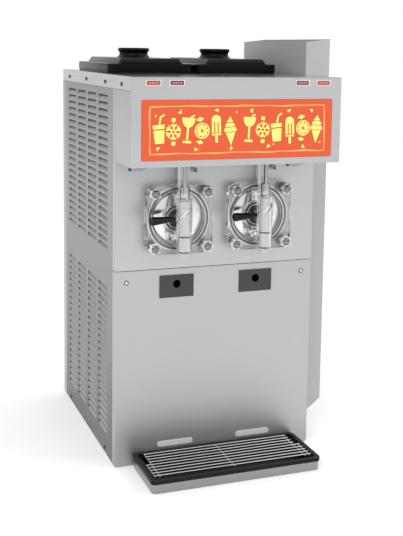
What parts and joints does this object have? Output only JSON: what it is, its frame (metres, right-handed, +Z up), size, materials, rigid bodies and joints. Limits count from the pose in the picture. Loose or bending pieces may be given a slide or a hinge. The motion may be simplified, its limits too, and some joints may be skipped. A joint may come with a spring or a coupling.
{
  "type": "ice cream maker",
  "caption": "Twin frozen-drink and soft ice machine: stainless cabinet, two freezing cylinders with clear doors and draw spigots, covered hoppers, lit header, air duct and drip tray.",
  "frame": {"origin": "centre of the cabinet's footprint, on the plane it stands on", "axes": "+X to the machine's right seen from the front, +Y into the machine, +Z up"},
  "size_m": [0.5404, 0.688, 0.95],
  "materials": {
    "stainless": "fine brushed",
    "polished_stainless": "bright, lightly brushed",
    "cast_stainless": "satin",
    "frame_paint": "satin grey primer",
    "screw_steel": "satin",
    "sign_face": "lit translucent sheet, satin",
    "lamp_white": "satin",
    "bezel_white": "satin",
    "lens_red": "gloss",
    "foam": "closed-cell foam",
    "gearbox_paint": "semi-gloss grey",
    "compressor_paint": "gloss black",
    "fin_aluminium": "satin",
    "box_paint": "satin grey",
    "copper": "dull copper",
    "clear_plastic": "clear moulded, glossy",
    "black_rubber": "matte",
    "white_plastic": "smooth moulded",
    "hanger_grey": "smooth moulded",
    "black_plastic": "smooth moulded",
    "pan_grey": "fine texture"
  },
  "bodies": {
    "cabinet": {"base_pan": "stainless", "frame": "frame_paint", "left_panel": "stainless", "right_panel": "stainless", "rear_panel": "stainless", "upper_front_panel": "stainless", "lower_front_panel": "stainless", "header_shell": "stainless", "sign_panel": "sign_face", "sign_lamp": "lamp_white", "lens_bezels": "bezel_white", "indicator_lenses": "lens_red", "top_cover": "polished_stainless", "panel_screws": "screw_steel", "hopper_left": "polished_stainless", "hopper_right": "polished_stainless", "cylinder_left": "polished_stainless", "cylinder_right": "polished_stainless", "insulation_jackets": "foam", "gear_units": "gearbox_paint", "beater_motors": "gearbox_paint", "compressor": "compressor_paint", "condenser": "fin_aluminium", "fan_shroud": "frame_paint", "fan_motor": "gearbox_paint", "control_box": "box_paint", "refrigerant_lines": "copper", "air_duct": "stainless", "door_left": "clear_plastic", "door_right": "clear_plastic", "door_gaskets": "black_rubber", "door_studs": "polished_stainless", "handscrews": "white_plastic", "cord_gland": "black_rubber", "switches": "screw_steel", "tray_hangers": "hanger_grey"},
    "hopper_lid_left": {"lid_left": "black_plastic"},
    "valve_stem_left": {"stem_left": "polished_stainless"},
    "draw_valve_left": {"valve_left": "white_plastic", "valve_rings_left": "black_rubber", "handle_left": "black_plastic"},
    "prime_valve_left": {"prime_plug_left": "polished_stainless"},
    "beater_left": {"dasher_left": "cast_stainless", "scraper_blades_left": "white_plastic"},
    "pan_left": {"drip_pan_left": "pan_grey"},
    "switch_lever_left": {"toggle_left": "polished_stainless"},
    "hopper_lid_right": {"lid_right": "black_plastic"},
    "valve_stem_right": {"stem_right": "polished_stainless"},
    "draw_valve_right": {"valve_right": "white_plastic", "valve_rings_right": "black_rubber", "handle_right": "black_plastic"},
    "prime_valve_right": {"prime_plug_right": "polished_stainless"},
    "beater_right": {"dasher_right": "cast_stainless", "scraper_blades_right": "white_plastic"},
    "pan_right": {"drip_pan_right": "pan_grey"},
    "switch_lever_right": {"toggle_right": "polished_stainless"},
    "cooling_fan": {"fan": "fin_aluminium"},
    "tray": {"drip_tray": "stainless", "tray_rim": "black_plastic"},
    "grille": {"tray_grille": "polished_stainless"}
  },
  "joints": [
    {"name": "lid_lift_left", "type": "slide", "parent": "cabinet", "child": "hopper_lid_left", "axis": [0, 0, 1], "range_m": [0, 0.08]},
    {"name": "valve_turn_left", "type": "hinge", "parent": "valve_stem_left", "child": "draw_valve_left", "pos_m": [-0.09425, -0.3075, 0.56], "axis": [0, 0, 1], "range_deg": [0, 130]},
    {"name": "valve_lift_left", "type": "slide", "parent": "cabinet", "child": "valve_stem_left", "axis": [0, 0, 1], "range_m": [0, 0.0241]},
    {"name": "prime_lift_left", "type": "slide", "parent": "cabinet", "child": "prime_valve_left", "axis": [0, 0, 1], "range_m": [0, 0.012]},
    {"name": "dasher_spin_left", "type": "hinge", "parent": "cabinet", "child": "beater_left", "pos_m": [-0.09425, -0.248, 0.555], "axis": [0, 1, 0], "continuous": true},
    {"name": "pan_slide_left", "type": "slide", "parent": "cabinet", "child": "pan_left", "axis": [0, -1, 0], "range_m": [0, 0.27]},
    {"name": "switch_left", "type": "hinge", "parent": "cabinet", "child": "switch_lever_left", "pos_m": [-0.05675, -0.263, 0.662], "axis": [1, 0, 0], "range_deg": [-36, 0]},
    {"name": "lid_lift_right", "type": "slide", "parent": "cabinet", "child": "hopper_lid_right", "axis": [0, 0, 1], "range_m": [0, 0.08]},
    {"name": "valve_turn_right", "type": "hinge", "parent": "valve_stem_right", "child": "draw_valve_right", "pos_m": [0.09425, -0.3075, 0.56], "axis": [0, 0, 1], "range_deg": [0, 130]},
    {"name": "valve_lift_right", "type": "slide", "parent": "cabinet", "child": "valve_stem_right", "axis": [0, 0, 1], "range_m": [0, 0.0241]},
    {"name": "prime_lift_right", "type": "slide", "parent": "cabinet", "child": "prime_valve_right", "axis": [0, 0, 1], "range_m": [0, 0.012]},
    {"name": "dasher_spin_right", "type": "hinge", "parent": "cabinet", "child": "beater_right", "pos_m": [0.09425, -0.248, 0.555], "axis": [0, 1, 0], "continuous": true},
    {"name": "pan_slide_right", "type": "slide", "parent": "cabinet", "child": "pan_right", "axis": [0, -1, 0], "range_m": [0, 0.27]},
    {"name": "switch_right", "type": "hinge", "parent": "cabinet", "child": "switch_lever_right", "pos_m": [0.13175, -0.263, 0.662], "axis": [1, 0, 0], "range_deg": [-36, 0]},
    {"name": "fan_spin", "type": "hinge", "parent": "cabinet", "child": "cooling_fan", "pos_m": [-0.17, 0, 0.199], "axis": [1, 0, 0], "continuous": true},
    {"name": "tray_slide", "type": "slide", "parent": "cabinet", "child": "tray", "axis": [0, -1, 0], "range_m": [0, 0.12]},
    {"name": "grille_lift", "type": "slide", "parent": "tray", "child": "grille", "axis": [0, 0, 1], "range_m": [0, 0.06]}
  ],
  "couplings": [
    {"joint": "valve_lift_left", "follows": "valve_turn_left", "m_per_rad": 0.010578},
    {"joint": "valve_lift_right", "follows": "valve_turn_right", "m_per_rad": 0.010578}
  ]
}
